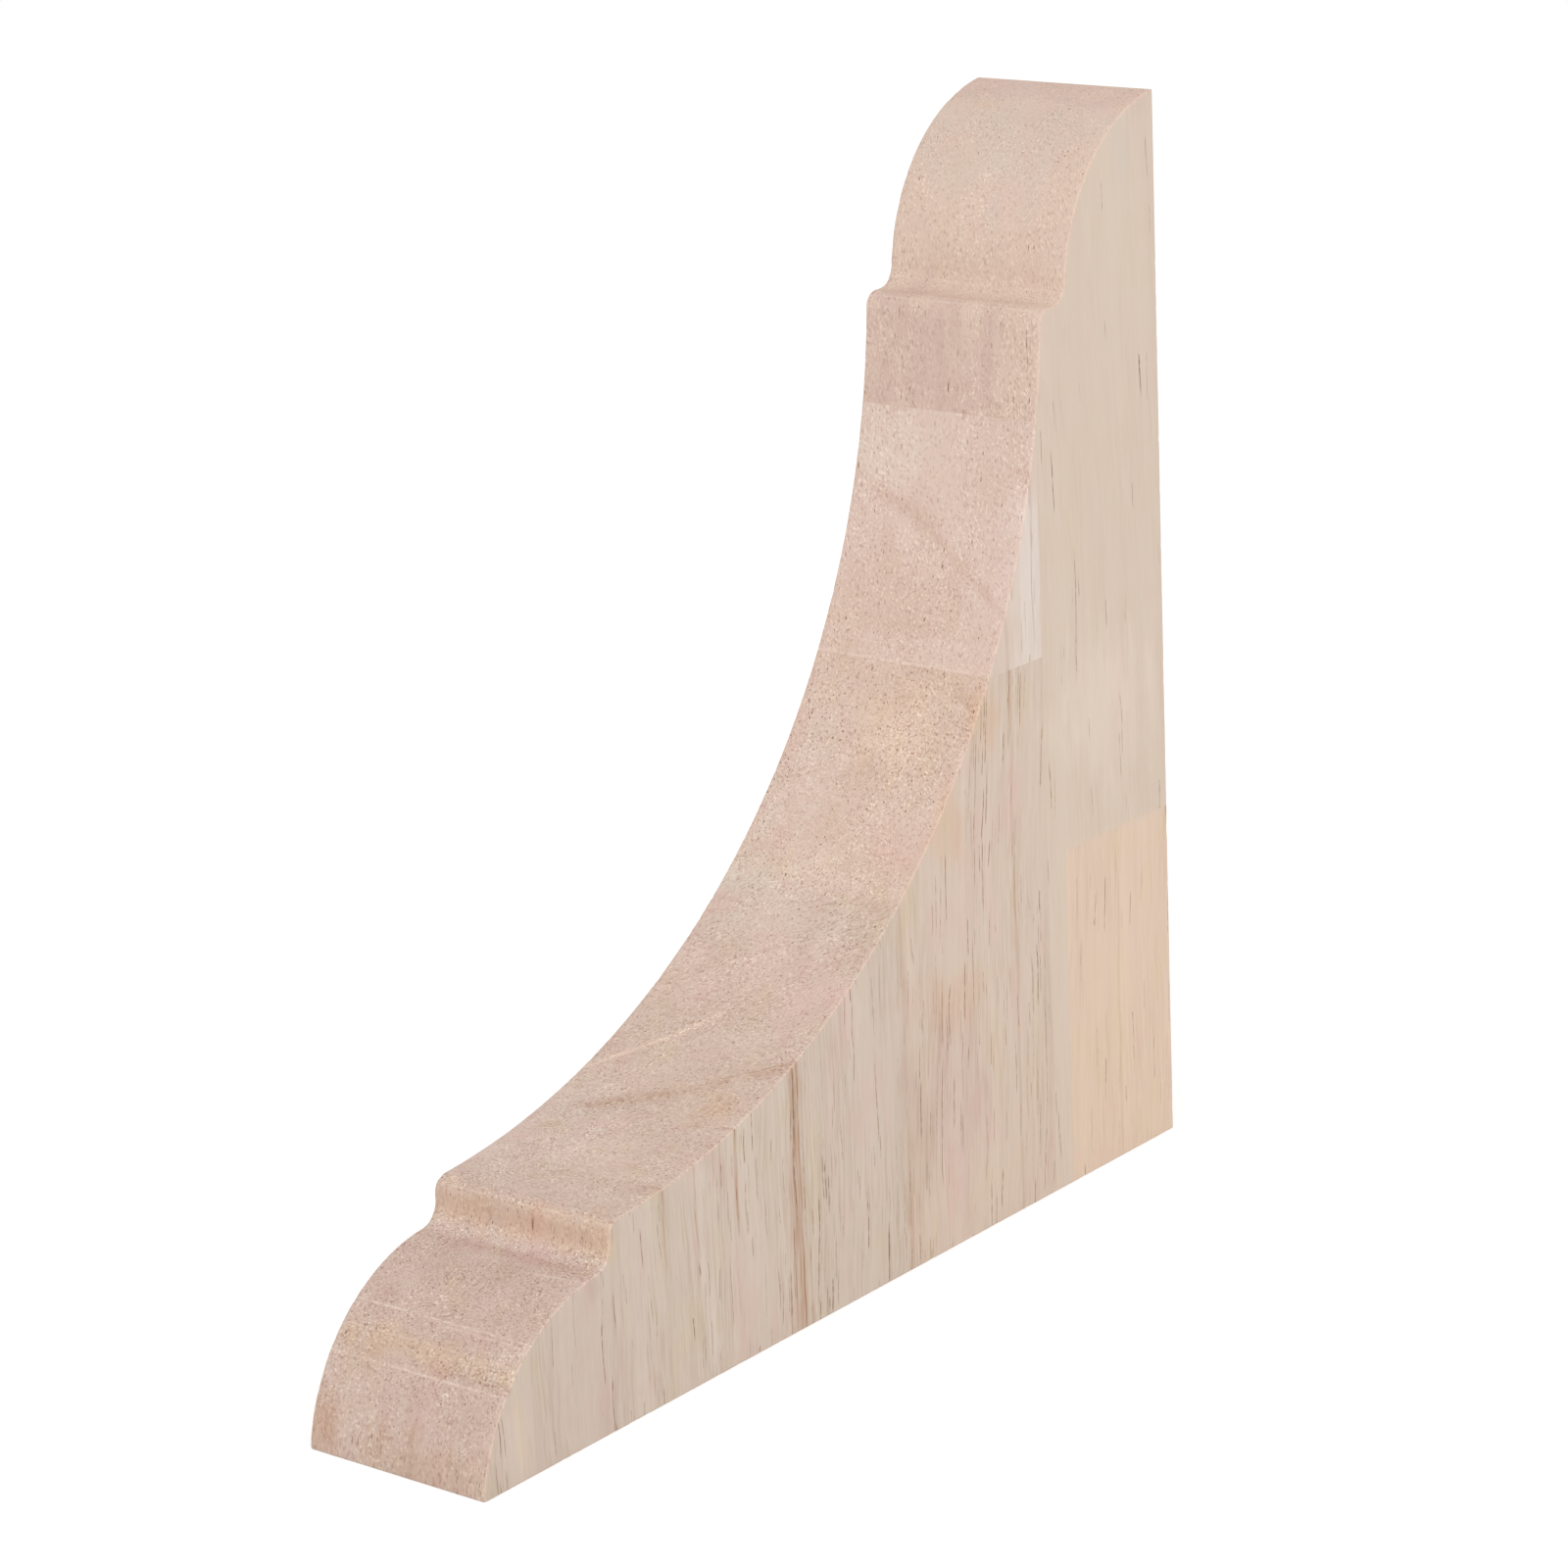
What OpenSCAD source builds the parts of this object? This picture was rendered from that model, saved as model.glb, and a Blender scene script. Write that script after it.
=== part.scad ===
// Wooden corbel bracket, cut with one moulded profile from a glued-up board.
// It stands on its long flat shelf face, with the wall face upright at +X.
// The origin is the centre of the underside. Sizes are in millimetres.
//
// The profile is drawn in the corner where the two flat faces meet: first
// coordinate out from the wall face, second coordinate up from the shelf face.
// It is the same about the 45 degree line, so one half is drawn and mirrored.

/* [Bracket] */
// Length of each flat face, from the square corner to its tip
leg = 197; // [150:1:300]
// Thickness of the board
thickness = 38.1; // [18:0.1:90]

/* [Nose] */
// Flat left at each tip, beside the rounded nose
tip_flat = 0.6; // [0.4:0.1:6]
// Reach of the nose moulding, out from the flat face beside it
nose_depth = 28.6; // [22:0.1:36]
// Length of the nose moulding, back from the tip
nose_length = 29.3; // [20:0.1:38]
// Radius of the nose moulding
nose_r = 33.4; // [28:0.1:60]

/* [Step] */
// Set-back of the small hollow behind the edge of the nose
quirk = 0.2; // [0.1:0.05:1]
// Radius of the small hollow under the nose
hollow_r = 4.1; // [2:0.1:8]
// Flat between the hollow and the rounded corner
ledge = 1.1; // [0.4:0.1:6]
// Radius of the corner where the step turns into the cove
corner_r = 2.9; // [1:0.1:6]

/* [Cove] */
// Distance of the cove's centre inside the line of each tip
cove_inset = 27.8; // [0:0.1:45]

/* [Hidden] */
$fn = 180;

// The nose's arc is struck from a centre behind the middle of its chord
nose_rise = nose_depth - tip_flat;
nose_half = norm([nose_rise, nose_length]) / 2;
nose_back = sqrt(nose_r * nose_r - nose_half * nose_half);
nose_x = (tip_flat + nose_depth - nose_back * nose_length / nose_half) / 2;
nose_y = leg - (nose_length + nose_back * nose_rise / nose_half) / 2;

// Centre of the small hollow, level with the foot of the nose
hollow_x = nose_depth - quirk + hollow_r;
hollow_y = leg - nose_length;

// Level of the step, and the centre of its rounded corner
step_level = hollow_y - hollow_r;
corner_x = hollow_x + ledge;
corner_y = step_level - corner_r;

// The cove is struck from the 45 degree line, and runs into the corner's arc.
// It cuts this little into that arc, so that the two cross at a definite line.
arc_overlap = 0.02;
cove_c = leg - cove_inset;
cove_r = norm([cove_c - corner_x, cove_c - corner_y]) - corner_r + arc_overlap;

// A drawing and its mirror image across the 45 degree line
module both_legs() {
    children();
    mirror([1, -1]) children();
}

// Rounded moulding at the tip of a leg
module nose() {
    intersection() {
        translate([0, hollow_y]) square([leg, nose_length]);
        translate([nose_x, nose_y]) circle(r = nose_r);
    }
}

// Neck under the nose, scooped out by the small hollow
module neck() {
    difference() {
        translate([0, corner_y]) square([hollow_x, hollow_y - corner_y]);
        translate([hollow_x, hollow_y]) circle(r = hollow_r);
    }
}

// Step under the neck, with its rounded corner
module step() {
    square([corner_x, step_level]);
    translate([corner_x, corner_y]) circle(r = corner_r);
}

// Web behind the cove, from one step's corner round to the other's
module web() {
    difference() {
        polygon([[0, 0], [corner_y, 0], [corner_y, corner_x], [cove_c, cove_c],
            [corner_x, corner_y], [0, corner_y]]);
        translate([cove_c, cove_c]) circle(r = cove_r);
    }
}

// Full outline of the bracket
module outline() {
    both_legs() {
        nose();
        neck();
        step();
    }
    web();
}

module corbel() {
    color([0.86, 0.75, 0.62])
        translate([leg / 2, 0, 0])
            rotate([90, 0, 180])
                linear_extrude(height = thickness, center = true) outline();
}

corbel();
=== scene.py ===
"""Wooden corbel bracket: the board is lofted along its moulding and dressed as bare wood.

Lengths are in metres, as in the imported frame, unless a name ends in _mm. Patterns inside
the wood are worked out in millimetres, from the board's own corner: across from the wall
face, deep from the near side and high from the underside.
"""

import logging
import math
from dataclasses import dataclass, field, fields
from enum import Enum
from typing import Mapping, Sequence, Union

import bpy
from mathutils import Matrix, Vector


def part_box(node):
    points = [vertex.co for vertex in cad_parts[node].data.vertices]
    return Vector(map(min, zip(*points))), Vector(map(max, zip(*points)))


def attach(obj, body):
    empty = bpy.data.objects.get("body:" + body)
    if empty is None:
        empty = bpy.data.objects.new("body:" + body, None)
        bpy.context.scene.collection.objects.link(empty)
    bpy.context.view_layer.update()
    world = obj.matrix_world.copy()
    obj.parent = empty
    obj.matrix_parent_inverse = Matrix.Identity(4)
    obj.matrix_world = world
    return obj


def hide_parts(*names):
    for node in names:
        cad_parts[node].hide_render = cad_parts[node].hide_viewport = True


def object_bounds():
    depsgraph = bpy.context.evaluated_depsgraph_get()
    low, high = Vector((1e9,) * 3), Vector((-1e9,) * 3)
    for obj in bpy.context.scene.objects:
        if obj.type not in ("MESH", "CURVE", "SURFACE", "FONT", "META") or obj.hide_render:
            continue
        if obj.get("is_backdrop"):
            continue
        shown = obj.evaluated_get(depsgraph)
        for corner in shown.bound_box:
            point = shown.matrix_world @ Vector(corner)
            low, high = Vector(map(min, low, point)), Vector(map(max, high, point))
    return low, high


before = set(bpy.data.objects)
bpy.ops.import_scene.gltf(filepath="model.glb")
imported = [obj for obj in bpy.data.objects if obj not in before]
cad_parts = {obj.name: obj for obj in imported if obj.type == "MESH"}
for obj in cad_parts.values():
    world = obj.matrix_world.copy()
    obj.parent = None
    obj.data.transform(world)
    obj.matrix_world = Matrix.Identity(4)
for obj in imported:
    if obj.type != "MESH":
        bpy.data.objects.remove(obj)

CAD_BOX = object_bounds()
MM = 0.001
QUARTER, HALF_TURN = math.pi / 2, math.pi

log = logging.getLogger("corbel")

Number = Union["Field", float]
Colour = tuple[float, float, float]


# ---------------------------------------------------------------- node trees


class Port(Enum):
    """Kinds of socket that a node group can have."""

    NUMBER = "NodeSocketFloat"
    VECTOR = "NodeSocketVector"
    COLOUR = "NodeSocketColor"
    SHAPE = "NodeSocketGeometry"
    MATERIAL = "NodeSocketMaterial"


class TreeKind(Enum):
    """Kinds of node tree that the script builds."""

    SHADING = "ShaderNodeTree"
    SHAPE = "GeometryNodeTree"


def socket_title(name: str) -> str:
    """The socket that a name in the script stands for, such as Nose Depth for nose_depth."""
    return name.replace("_", " ").title()


@dataclass(frozen=True)
class Noise:
    """A noise from 0 to 1, stretched as a layer of the wood or of its surface asks."""

    pace: tuple[float, float, float]
    """Blotches per unit of length, each way."""
    detail: float = 2.0
    rough: float = 0.5
    start: float = 0.0
    """Where in the noise it starts, so that two alike don't match."""


class Field:
    """A value flowing through a node tree. Where it is a number, plain arithmetic works on it."""

    def __init__(self, bench: "NodeBench", socket: bpy.types.NodeSocket) -> None:
        """Keeps the tree's bench and the socket that puts the value out."""
        self.bench = bench
        self.socket = socket

    def __add__(self, other: Number) -> "Field":
        """Sum of two numbers."""
        return self.bench.math("ADD", self, other)

    def __sub__(self, other: Number) -> "Field":
        """Difference of two numbers."""
        return self.bench.math("SUBTRACT", self, other)

    def __rsub__(self, other: float) -> "Field":
        """Difference, with the plain number first."""
        return self.bench.math("SUBTRACT", other, self)

    def __mul__(self, other: Number) -> "Field":
        """Product of two numbers."""
        return self.bench.math("MULTIPLY", self, other)

    def __truediv__(self, other: Number) -> "Field":
        """Quotient of two numbers."""
        return self.bench.math("DIVIDE", self, other)

    __radd__ = __add__
    __rmul__ = __mul__

    def centred(self) -> "Field":
        """The number moved from the range 0 to 1 into the range -1 to 1."""
        return self * 2.0 - 1.0


class NodeBench:
    """Builds one node tree, with short names for the nodes used most."""

    COLUMNS, COLUMN_STEP, ROW_STEP = 14, 200, 260

    def __init__(self, tree: bpy.types.NodeTree) -> None:
        """Takes an empty tree to build in."""
        self.tree = tree
        self.given: dict[str, Field] = {}
        self.results: bpy.types.Node | None = None

    @classmethod
    def group(
        cls,
        name: str,
        kind: TreeKind,
        takes: Mapping[str, tuple[Port, object]],
        gives: Mapping[str, Port],
    ) -> "NodeBench":
        """Starts a node group with named sockets.

        Args:
            name: the group's name.
            kind: shading or shape.
            takes: each input's name, kind and default value.
            gives: each output's name and kind.

        Returns:
            The bench of the new group, with its inputs in `given`.
        """
        tree = bpy.data.node_groups.new(name, kind.value)
        for title, (port, default) in takes.items():
            socket = tree.interface.new_socket(title, in_out="INPUT", socket_type=port.value)
            if default is not None:
                socket.default_value = default
        for title, port in gives.items():
            tree.interface.new_socket(title, in_out="OUTPUT", socket_type=port.value)
        bench = cls(tree)
        entry = bench.node("NodeGroupInput")
        bench.given = {title: Field(bench, entry.outputs[title]) for title in takes}
        bench.results = bench.node("NodeGroupOutput")
        return bench

    def feed(self, socket: bpy.types.NodeSocket, value: object) -> None:
        """Links a field to an input socket, or sets the socket to a plain value."""
        if isinstance(value, Field):
            self.tree.links.new(value.socket, socket)
        elif isinstance(value, float) and socket.type == "VECTOR":
            socket.default_value = (value, value, value)
        else:
            socket.default_value = value

    def node(
        self, kind: str, inputs: Mapping[str | int, object] | None = None, **settings: object
    ) -> bpy.types.Node:
        """Adds a node.

        Args:
            kind: Blender's name for the type of node.
            inputs: values or fields for its inputs, by name or number.
            settings: the node's own options.

        Returns:
            The new node.
        """
        made = self.tree.nodes.new(kind)
        place = len(self.tree.nodes)
        row, column = divmod(place, self.COLUMNS)
        made.location = (self.COLUMN_STEP * column, -self.ROW_STEP * row)
        for option, value in settings.items():
            setattr(made, option, value)
        for key, value in (inputs or {}).items():
            self.feed(made.inputs[key], value)
        return made

    def out(self, made: bpy.types.Node, key: str | int = 0) -> Field:
        """One of a node's outputs as a field."""
        return Field(self, made.outputs[key])

    def put(
        self, kind: str, inputs: Mapping[str | int, object] | None = None, **settings: object
    ) -> Field:
        """Adds a node and returns its first output."""
        return self.out(self.node(kind, inputs, **settings))

    def place(self, group: bpy.types.NodeTree, **inputs: object) -> dict[str, Field]:
        """Places a group in this tree.

        Args:
            group: the node group.
            inputs: values or fields by input name, with _ for each space.

        Returns:
            The group's outputs by name.
        """
        kind = "GeometryNodeGroup" if group.bl_idname == TreeKind.SHAPE.value else "ShaderNodeGroup"
        made = self.node(kind, node_tree=group)
        for key, value in inputs.items():
            self.feed(made.inputs[socket_title(key)], value)
        return {socket.name: Field(self, socket) for socket in made.outputs}

    def give(self, **values: object) -> bpy.types.NodeTree:
        """Sets the group's outputs, with _ for each space, and returns the finished group."""
        for key, value in values.items():
            self.feed(self.results.inputs[socket_title(key)], value)
        return self.tree

    def math(self, operation: str, *values: Number) -> Field:
        """A Math node on one to three numbers."""
        return self.put("ShaderNodeMath", dict(enumerate(values)), operation=operation)

    def vector_math(self, operation: str, *values: object) -> Field:
        """A Vector Math node on one to three vectors."""
        return self.put("ShaderNodeVectorMath", dict(enumerate(values)), operation=operation)

    def hypot(self, a: Number, b: Number) -> Field:
        """Length of the diagonal over two sides."""
        return self.math("SQRT", self.math("MULTIPLY", a, a) + self.math("MULTIPLY", b, b))

    def same(self, a: Number, b: Number) -> Field:
        """1 where two whole numbers are the same, and 0 elsewhere."""
        return self.math("COMPARE", a, b, 0.5)

    def ramp(self, value: Number, low: Number, high: Number, smooth: bool = False) -> Field:
        """0 at low and beyond, 1 at high and beyond, and a ramp between them."""
        keys = {"Value": value, "From Min": low, "From Max": high}
        kind = "SMOOTHSTEP" if smooth else "LINEAR"
        return self.put("ShaderNodeMapRange", keys, interpolation_type=kind, clamp=True)

    def vector(self, x: Number, y: Number, z: Number) -> Field:
        """A vector from its three parts."""
        return self.put("ShaderNodeCombineXYZ", {0: x, 1: y, 2: z})

    def parts(self, vector: Field) -> tuple[Field, Field, Field]:
        """The three parts of a vector."""
        made = self.node("ShaderNodeSeparateXYZ", {0: vector})
        return self.out(made, 0), self.out(made, 1), self.out(made, 2)

    def blend(self, factor: Number, a: object, b: object) -> Field:
        """A mix of two colours."""
        made = self.node("ShaderNodeMix", {0: factor, 6: a, 7: b}, data_type="RGBA")
        return self.out(made, 2)

    def between(self, factor: Number, a: Number, b: Number) -> Field:
        """A mix of two numbers."""
        return self.put("ShaderNodeMix", {0: factor, 2: a, 3: b}, data_type="FLOAT")

    def noise(self, kind: Noise, place: Field, seed: Number | None = None) -> Field:
        """A noise at a place.

        Args:
            kind: which noise it is.
            place: the place, as a vector.
            seed: where in the noise it starts, if not where its kind says.

        Returns:
            The noise there, from 0 to 1.
        """
        start = kind.start if seed is None else seed
        vector = self.vector_math("MULTIPLY_ADD", place, kind.pace, start)
        keys = {"Vector": vector, "Scale": 1.0, "Detail": kind.detail, "Roughness": kind.rough}
        return self.put("ShaderNodeTexNoise", keys, noise_dimensions="3D")

    def grade(self, colour: Field, amount: Field, weights: Colour) -> Field:
        """A colour made lighter or darker by an amount, with its own weight on each part."""
        by = self.vector_math("MULTIPLY_ADD", amount, weights, (1.0, 1.0, 1.0))
        return self.tint(colour, by)

    def tint(self, colour: Field, by: Field | Colour) -> Field:
        """A colour multiplied by another, part by part."""
        return self.vector_math("MULTIPLY", colour, by)

    def stored(self, name: str) -> Field:
        """A number that was stored on the mesh, read in a material."""
        drawn = self.node("ShaderNodeAttribute", attribute_name=name, attribute_type="GEOMETRY")
        return self.out(drawn, "Fac")


# ---------------------------------------------------------------- inside the wood


@dataclass(frozen=True)
class Block:
    """One block of wood in the glued-up board.

    It reaches from its stave's glue line to the next one, below or above the finger joint.
    """

    tone: Colour
    """Colour of its sanded long grain."""
    seed: float
    """Shifts its grain, so that no two blocks match."""
    slant: float
    """How far its rings move across for each unit of depth."""
    lean: float
    """How far its fibres move across for each unit of height."""
    pores: float
    """Share of its vessels that are open, 0 to 1."""
    figure: float = 1.0
    """Strength of its light and dark lines."""


TRAITS = ("Seed", "Slant", "Lean", "Pores", "Figure")


@dataclass(frozen=True)
class Stave:
    """A column of blocks, glued edge to edge with its neighbours."""

    edge_mm: float
    """Distance of its glue line from the wall face."""
    lower: Block
    upper: Block | None = None
    joint_mm: float = 0.0
    """Height of the finger joint between its two blocks."""
    fingers_show: bool = False
    """True if the fingers show on the sides of the board, not on its wall face."""
    blur_mm: float = 0.08
    """Half the width over which one block gives way to the other at the finger joint."""
    soft_mm: float = 0.05
    """Half the width over which its tone gives way to its neighbour's at the glue line."""


@dataclass(frozen=True)
class GluedBlank:
    """The board as the glue-up left it, before its moulding was cut."""

    staves: tuple[Stave, ...]
    finger_mm: float = 11.5
    """Length of a finger."""
    pitch_mm: float = 3.1
    """Distance from one finger to the next."""
    glue_mm: float = 0.16
    """Half the width of a glue line."""
    flanks: tuple[float, float] = (0.12, 0.88)
    """Where a finger's flank starts and ends, on the way from one valley to the next tip."""
    foot_share: float = 0.68
    """How much of the upper block's tone shows between its fingers, over the foot of the joint."""

    def group(self) -> bpy.types.NodeTree:
        """Builds the group that says which block a place is in.

        Returns:
            A group that takes the place in the board and gives the block's values.
        """
        bench = NodeBench.group(
            "Glued Blank",
            TreeKind.SHADING,
            {"Board": (Port.VECTOR, None)},
            {"Tone": Port.COLOUR, "Glue": Port.NUMBER} | {name: Port.NUMBER for name in TRAITS},
        )
        across, deep, high = bench.parts(bench.given["Board"])
        first = self.staves[0].lower
        tone: Field | tuple[float, ...] = (*first.tone, 1.0)
        values = self.traits(first)
        glue: Number = 0.0
        for stave in self.staves:
            inside = bench.ramp(across, stave.edge_mm - stave.soft_mm, stave.edge_mm + stave.soft_mm)
            lined = bench.math("ABSOLUTE", across - stave.edge_mm)
            glue = bench.math("MAXIMUM", glue, 1.0 - bench.ramp(lined, 0.0, self.glue_mm))
            tone, values = self.lay(bench, stave.lower, inside, tone, values)
            if stave.upper is None:
                continue
            along = across if stave.fingers_show else deep
            foot = high - stave.joint_mm
            tip = bench.ramp(foot - self.comb(bench, along), -stave.blur_mm, stave.blur_mm)
            over = bench.ramp(foot, -stave.blur_mm, stave.blur_mm)
            above = bench.math("MAXIMUM", tip, over * self.foot_share) * inside
            tone, values = self.lay(bench, stave.upper, above, tone, values)
        return bench.give(Tone=tone, Glue=glue, **dict(zip(TRAITS, values, strict=True)))

    def comb(self, bench: NodeBench, along: Field) -> Field:
        """Height of the fingers' edge over the foot of the joint, at a place along it."""
        half_pitch = self.pitch_mm / 2
        wave = bench.math("PINGPONG", along, half_pitch) / half_pitch
        return bench.ramp(wave, *self.flanks) * self.finger_mm

    @staticmethod
    def traits(block: Block) -> list[Number]:
        """A block's numbers, in the order of TRAITS."""
        return [getattr(block, name.lower()) for name in TRAITS]

    def lay(
        self, bench: NodeBench, block: Block, mask: Field, tone: object, values: Sequence[Number]
    ) -> tuple[Field, list[Number]]:
        """Lays one block over the values so far.

        Args:
            bench: the group being built.
            block: the block to lay.
            mask: 1 inside the block and 0 outside it.
            tone: the colour so far.
            values: the block's traits so far.

        Returns:
            The colour and the values with the block laid over them.
        """
        own, inside = self.traits(block), bench.math("GREATER_THAN", mask, 0.5)
        laid = [bench.between(inside, before, after) for before, after in zip(values, own, strict=True)]
        return bench.blend(mask, tone, (*block.tone, 1.0)), laid


@dataclass(frozen=True)
class Streak:
    """A darker line in the wood, which runs up the fibres and shows on every face it meets."""

    across_mm: float
    """Where it meets the near side."""
    width_mm: float
    slant: float
    """How far it moves across for each unit of depth."""
    bow: float
    """How far it bows across, in millimetres, halfway through the board."""
    strength: float
    """1 is full strength, and less than 0 is a pale line."""
    low_mm: float = -10.0
    high_mm: float = 250.0
    near_mm: float = -10.0
    far_mm: float = 90.0


@dataclass(frozen=True)
class Stain:
    """A soft patch in the wood where its colour drifts."""

    at_mm: tuple[float, float, float]
    """Its middle: across, deep and high."""
    reach_mm: tuple[float, float, float]
    """How far it reaches each way."""
    tint: Colour
    """Multiplies the colour in its middle."""
    inside: Block | None = None
    """The only block that it shows in, or None if it crosses the glue lines."""


@dataclass(frozen=True)
class Growth:
    """How the wood grew: fibres, rings, vessels, mineral streaks and stains."""

    streaks: tuple[Streak, ...]
    stains: tuple[Stain, ...]
    depth_mm: float
    """Thickness of the board, which the streaks' bows span."""
    fade_mm: float = 5.0
    """Length over which a streak starts and ends."""
    falloff: float = 1.6
    """How steeply a streak pales from its middle to its edges."""
    patches: tuple[float, float] = (0.0, 0.6)
    """Levels of the patchy noise between which a streak comes up to full strength."""
    stain_core: float = 0.25
    """Share of its reach over which a stain is at full strength."""
    stain_ragged: float = 1.1
    """How far a stain's edge wanders, as a share of its reach."""
    wander_mm: float = 3.4
    waver_mm: float = 0.7
    wobble_mm: float = 1.6
    """How far the rings wander and waver, and the streaks wobble."""
    hair_share: float = 0.5
    line_level: float = 0.25
    """Added to the fine lines, so that their average stays near 0."""
    dark_fibres: tuple[float, float] = (0.58, 0.36)
    """Levels of the fine noise between which a fibre turns dark."""
    dark_places: tuple[float, float] = (0.36, 0.62)
    """Levels of the calm noise between which dark fibres appear."""
    mottle_share: float = 0.55
    cloud_share: float = 0.75
    girths: tuple[float, float] = (0.6, 1.2)
    """Narrowest and widest vessel, as shares of the girth asked for."""
    reaches: tuple[float, float] = (0.13, 0.41)
    """Shortest and longest half of a vessel, as shares of the distance to the next."""
    hollow_core: float = 0.4
    """Share of a vessel's girth that is at full depth."""
    hollow_ends: float = 0.75
    """Share of a vessel's length that is at full depth."""

    WANDER = Noise((0.02, 0.05, 0.011), detail=1.0)
    WAVER = Noise((0.25, 0.25, 0.085), detail=1.0)
    BROAD = Noise((0.17, 0.05, 0.006), detail=1.0)
    NARROW = Noise((0.62, 0.2, 0.014), rough=0.6)
    FINE = Noise((2.1, 0.9, 0.065), rough=0.6)
    HAIR = Noise((3.8, 2.2, 0.24), detail=1.0)
    CALM = Noise((0.12, 0.1, 0.02), detail=1.0)
    MOTTLE = Noise((0.035, 0.06, 0.022), rough=0.55)
    CLOUD = Noise((0.15, 0.17, 0.07), rough=0.6)
    WOBBLE = Noise((0.0, 0.06, 0.03), rough=0.6)
    PATCHY = Noise((0.2, 0.2, 0.09), rough=0.6)
    RAGGED = Noise((0.16, 0.16, 0.05), detail=3.0, rough=0.6)

    def grain_group(self) -> bpy.types.NodeTree:
        """Builds the group for the light and dark of rings and fibres.

        Returns:
            A group that gives the place in grain space, and three layers from -1 to 1.
        """
        bench = NodeBench.group(
            "Grain",
            TreeKind.SHADING,
            {
                "Board": (Port.VECTOR, None),
                "Seed": (Port.NUMBER, 0.0),
                "Slant": (Port.NUMBER, 0.0),
                "Lean": (Port.NUMBER, 0.0),
            },
            {
                "Grain Space": Port.VECTOR,
                "Bands": Port.NUMBER,
                "Lines": Port.NUMBER,
                "Mottle": Port.NUMBER,
            },
        )
        board, seed = bench.given["Board"], bench.given["Seed"]
        across, deep, high = bench.parts(board)
        wander = bench.noise(self.WANDER, board, seed).centred() * self.wander_mm
        waver = bench.noise(self.WAVER, board, seed).centred() * self.waver_mm
        ring = across - deep * bench.given["Slant"] - high * bench.given["Lean"] + wander + waver
        space = bench.vector(ring, deep, high)
        broad = bench.noise(self.BROAD, space, seed).centred()
        narrow = bench.noise(self.NARROW, space, seed).centred()
        hair = bench.noise(self.HAIR, space, seed).centred()
        dark = bench.ramp(bench.noise(self.FINE, space, seed), *self.dark_fibres, True)
        dark = dark * bench.ramp(bench.noise(self.CALM, space, seed), *self.dark_places, True)
        mottle = bench.noise(self.MOTTLE, board, seed).centred()
        cloud = bench.noise(self.CLOUD, board, seed).centred()
        return bench.give(
            Grain_Space=space,
            Bands=(broad + narrow) / 2.0,
            Lines=hair * self.hair_share - dark + self.line_level,
            Mottle=mottle * self.mottle_share + cloud * self.cloud_share,
        )

    def vessel_group(self) -> bpy.types.NodeTree:
        """Builds the group for open vessels, which are dashes along the fibres and dots across them.

        Returns:
            A group that gives a mask, 1 in the middle of a vessel.
        """
        bench = NodeBench.group(
            "Vessels",
            TreeKind.SHADING,
            {
                "Grain Space": (Port.VECTOR, None),
                "Across": (Port.NUMBER, 0.45),
                "Along": (Port.NUMBER, 14.0),
                "Size": (Port.NUMBER, 0.2),
                "Share": (Port.NUMBER, 1.0),
            },
            {"Mask": Port.NUMBER},
        )
        given = bench.given
        ring, deep, high = bench.parts(given["Grain Space"])
        cell = bench.vector(ring / given["Across"], deep / given["Across"], high / given["Along"])
        made = bench.node(
            "ShaderNodeTexVoronoi", {"Vector": cell, "Scale": 1.0, "Randomness": 1.0}, feature="F1"
        )
        first, second, third = bench.parts(bench.out(made, "Color"))
        offset = bench.vector_math("SUBTRACT", cell, bench.out(made, "Position"))
        aside, behind, along = bench.parts(offset)
        chosen = bench.math("LESS_THAN", first, given["Share"])
        size = given["Size"] * bench.between(second, *self.girths)
        reach = bench.between(third, *self.reaches)
        hollow = bench.ramp(bench.hypot(aside, behind), size, size * self.hollow_core, True)
        ends = bench.ramp(bench.math("ABSOLUTE", along), reach, reach * self.hollow_ends)
        return bench.give(Mask=hollow * ends * chosen)

    def streak_group(self) -> bpy.types.NodeTree:
        """Builds the group for the mineral streaks.

        Returns:
            A group that gives the streaks' dark and pale masks.
        """
        bench = NodeBench.group(
            "Mineral Streaks",
            TreeKind.SHADING,
            {"Board": (Port.VECTOR, None)},
            {"Dark": Port.NUMBER, "Pale": Port.NUMBER},
        )
        board = bench.given["Board"]
        across, deep, high = bench.parts(board)
        wobble = bench.noise(self.WOBBLE, board).centred() * self.wobble_mm
        patchy = bench.noise(self.PATCHY, board)
        depth = deep / self.depth_mm
        hump = depth * (1.0 - depth) * 4.0
        masks: dict[bool, Number] = {True: 0.0, False: 0.0}
        for streak in self.streaks:
            centre = deep * streak.slant + hump * streak.bow + wobble + streak.across_mm
            away = bench.math("ABSOLUTE", across - centre) / streak.width_mm
            line = bench.math("POWER", 1.0 - bench.ramp(away, 0.0, 1.0), self.falloff)
            ends = self.window(bench, high, streak.low_mm, streak.high_mm)
            ends = ends * self.window(bench, deep, streak.near_mm, streak.far_mm)
            mask = line * ends * bench.ramp(patchy, *self.patches) * abs(streak.strength)
            is_dark = streak.strength > 0
            masks[is_dark] = bench.math("MAXIMUM", masks[is_dark], mask)
        return bench.give(Dark=masks[True], Pale=masks[False])

    def window(self, bench: NodeBench, value: Field, low: float, high: float) -> Field:
        """1 between two limits, fading out softly just inside them."""
        fade = self.fade_mm
        return bench.ramp(value, low, low + fade, True) * bench.ramp(value, high, high - fade, True)

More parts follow.
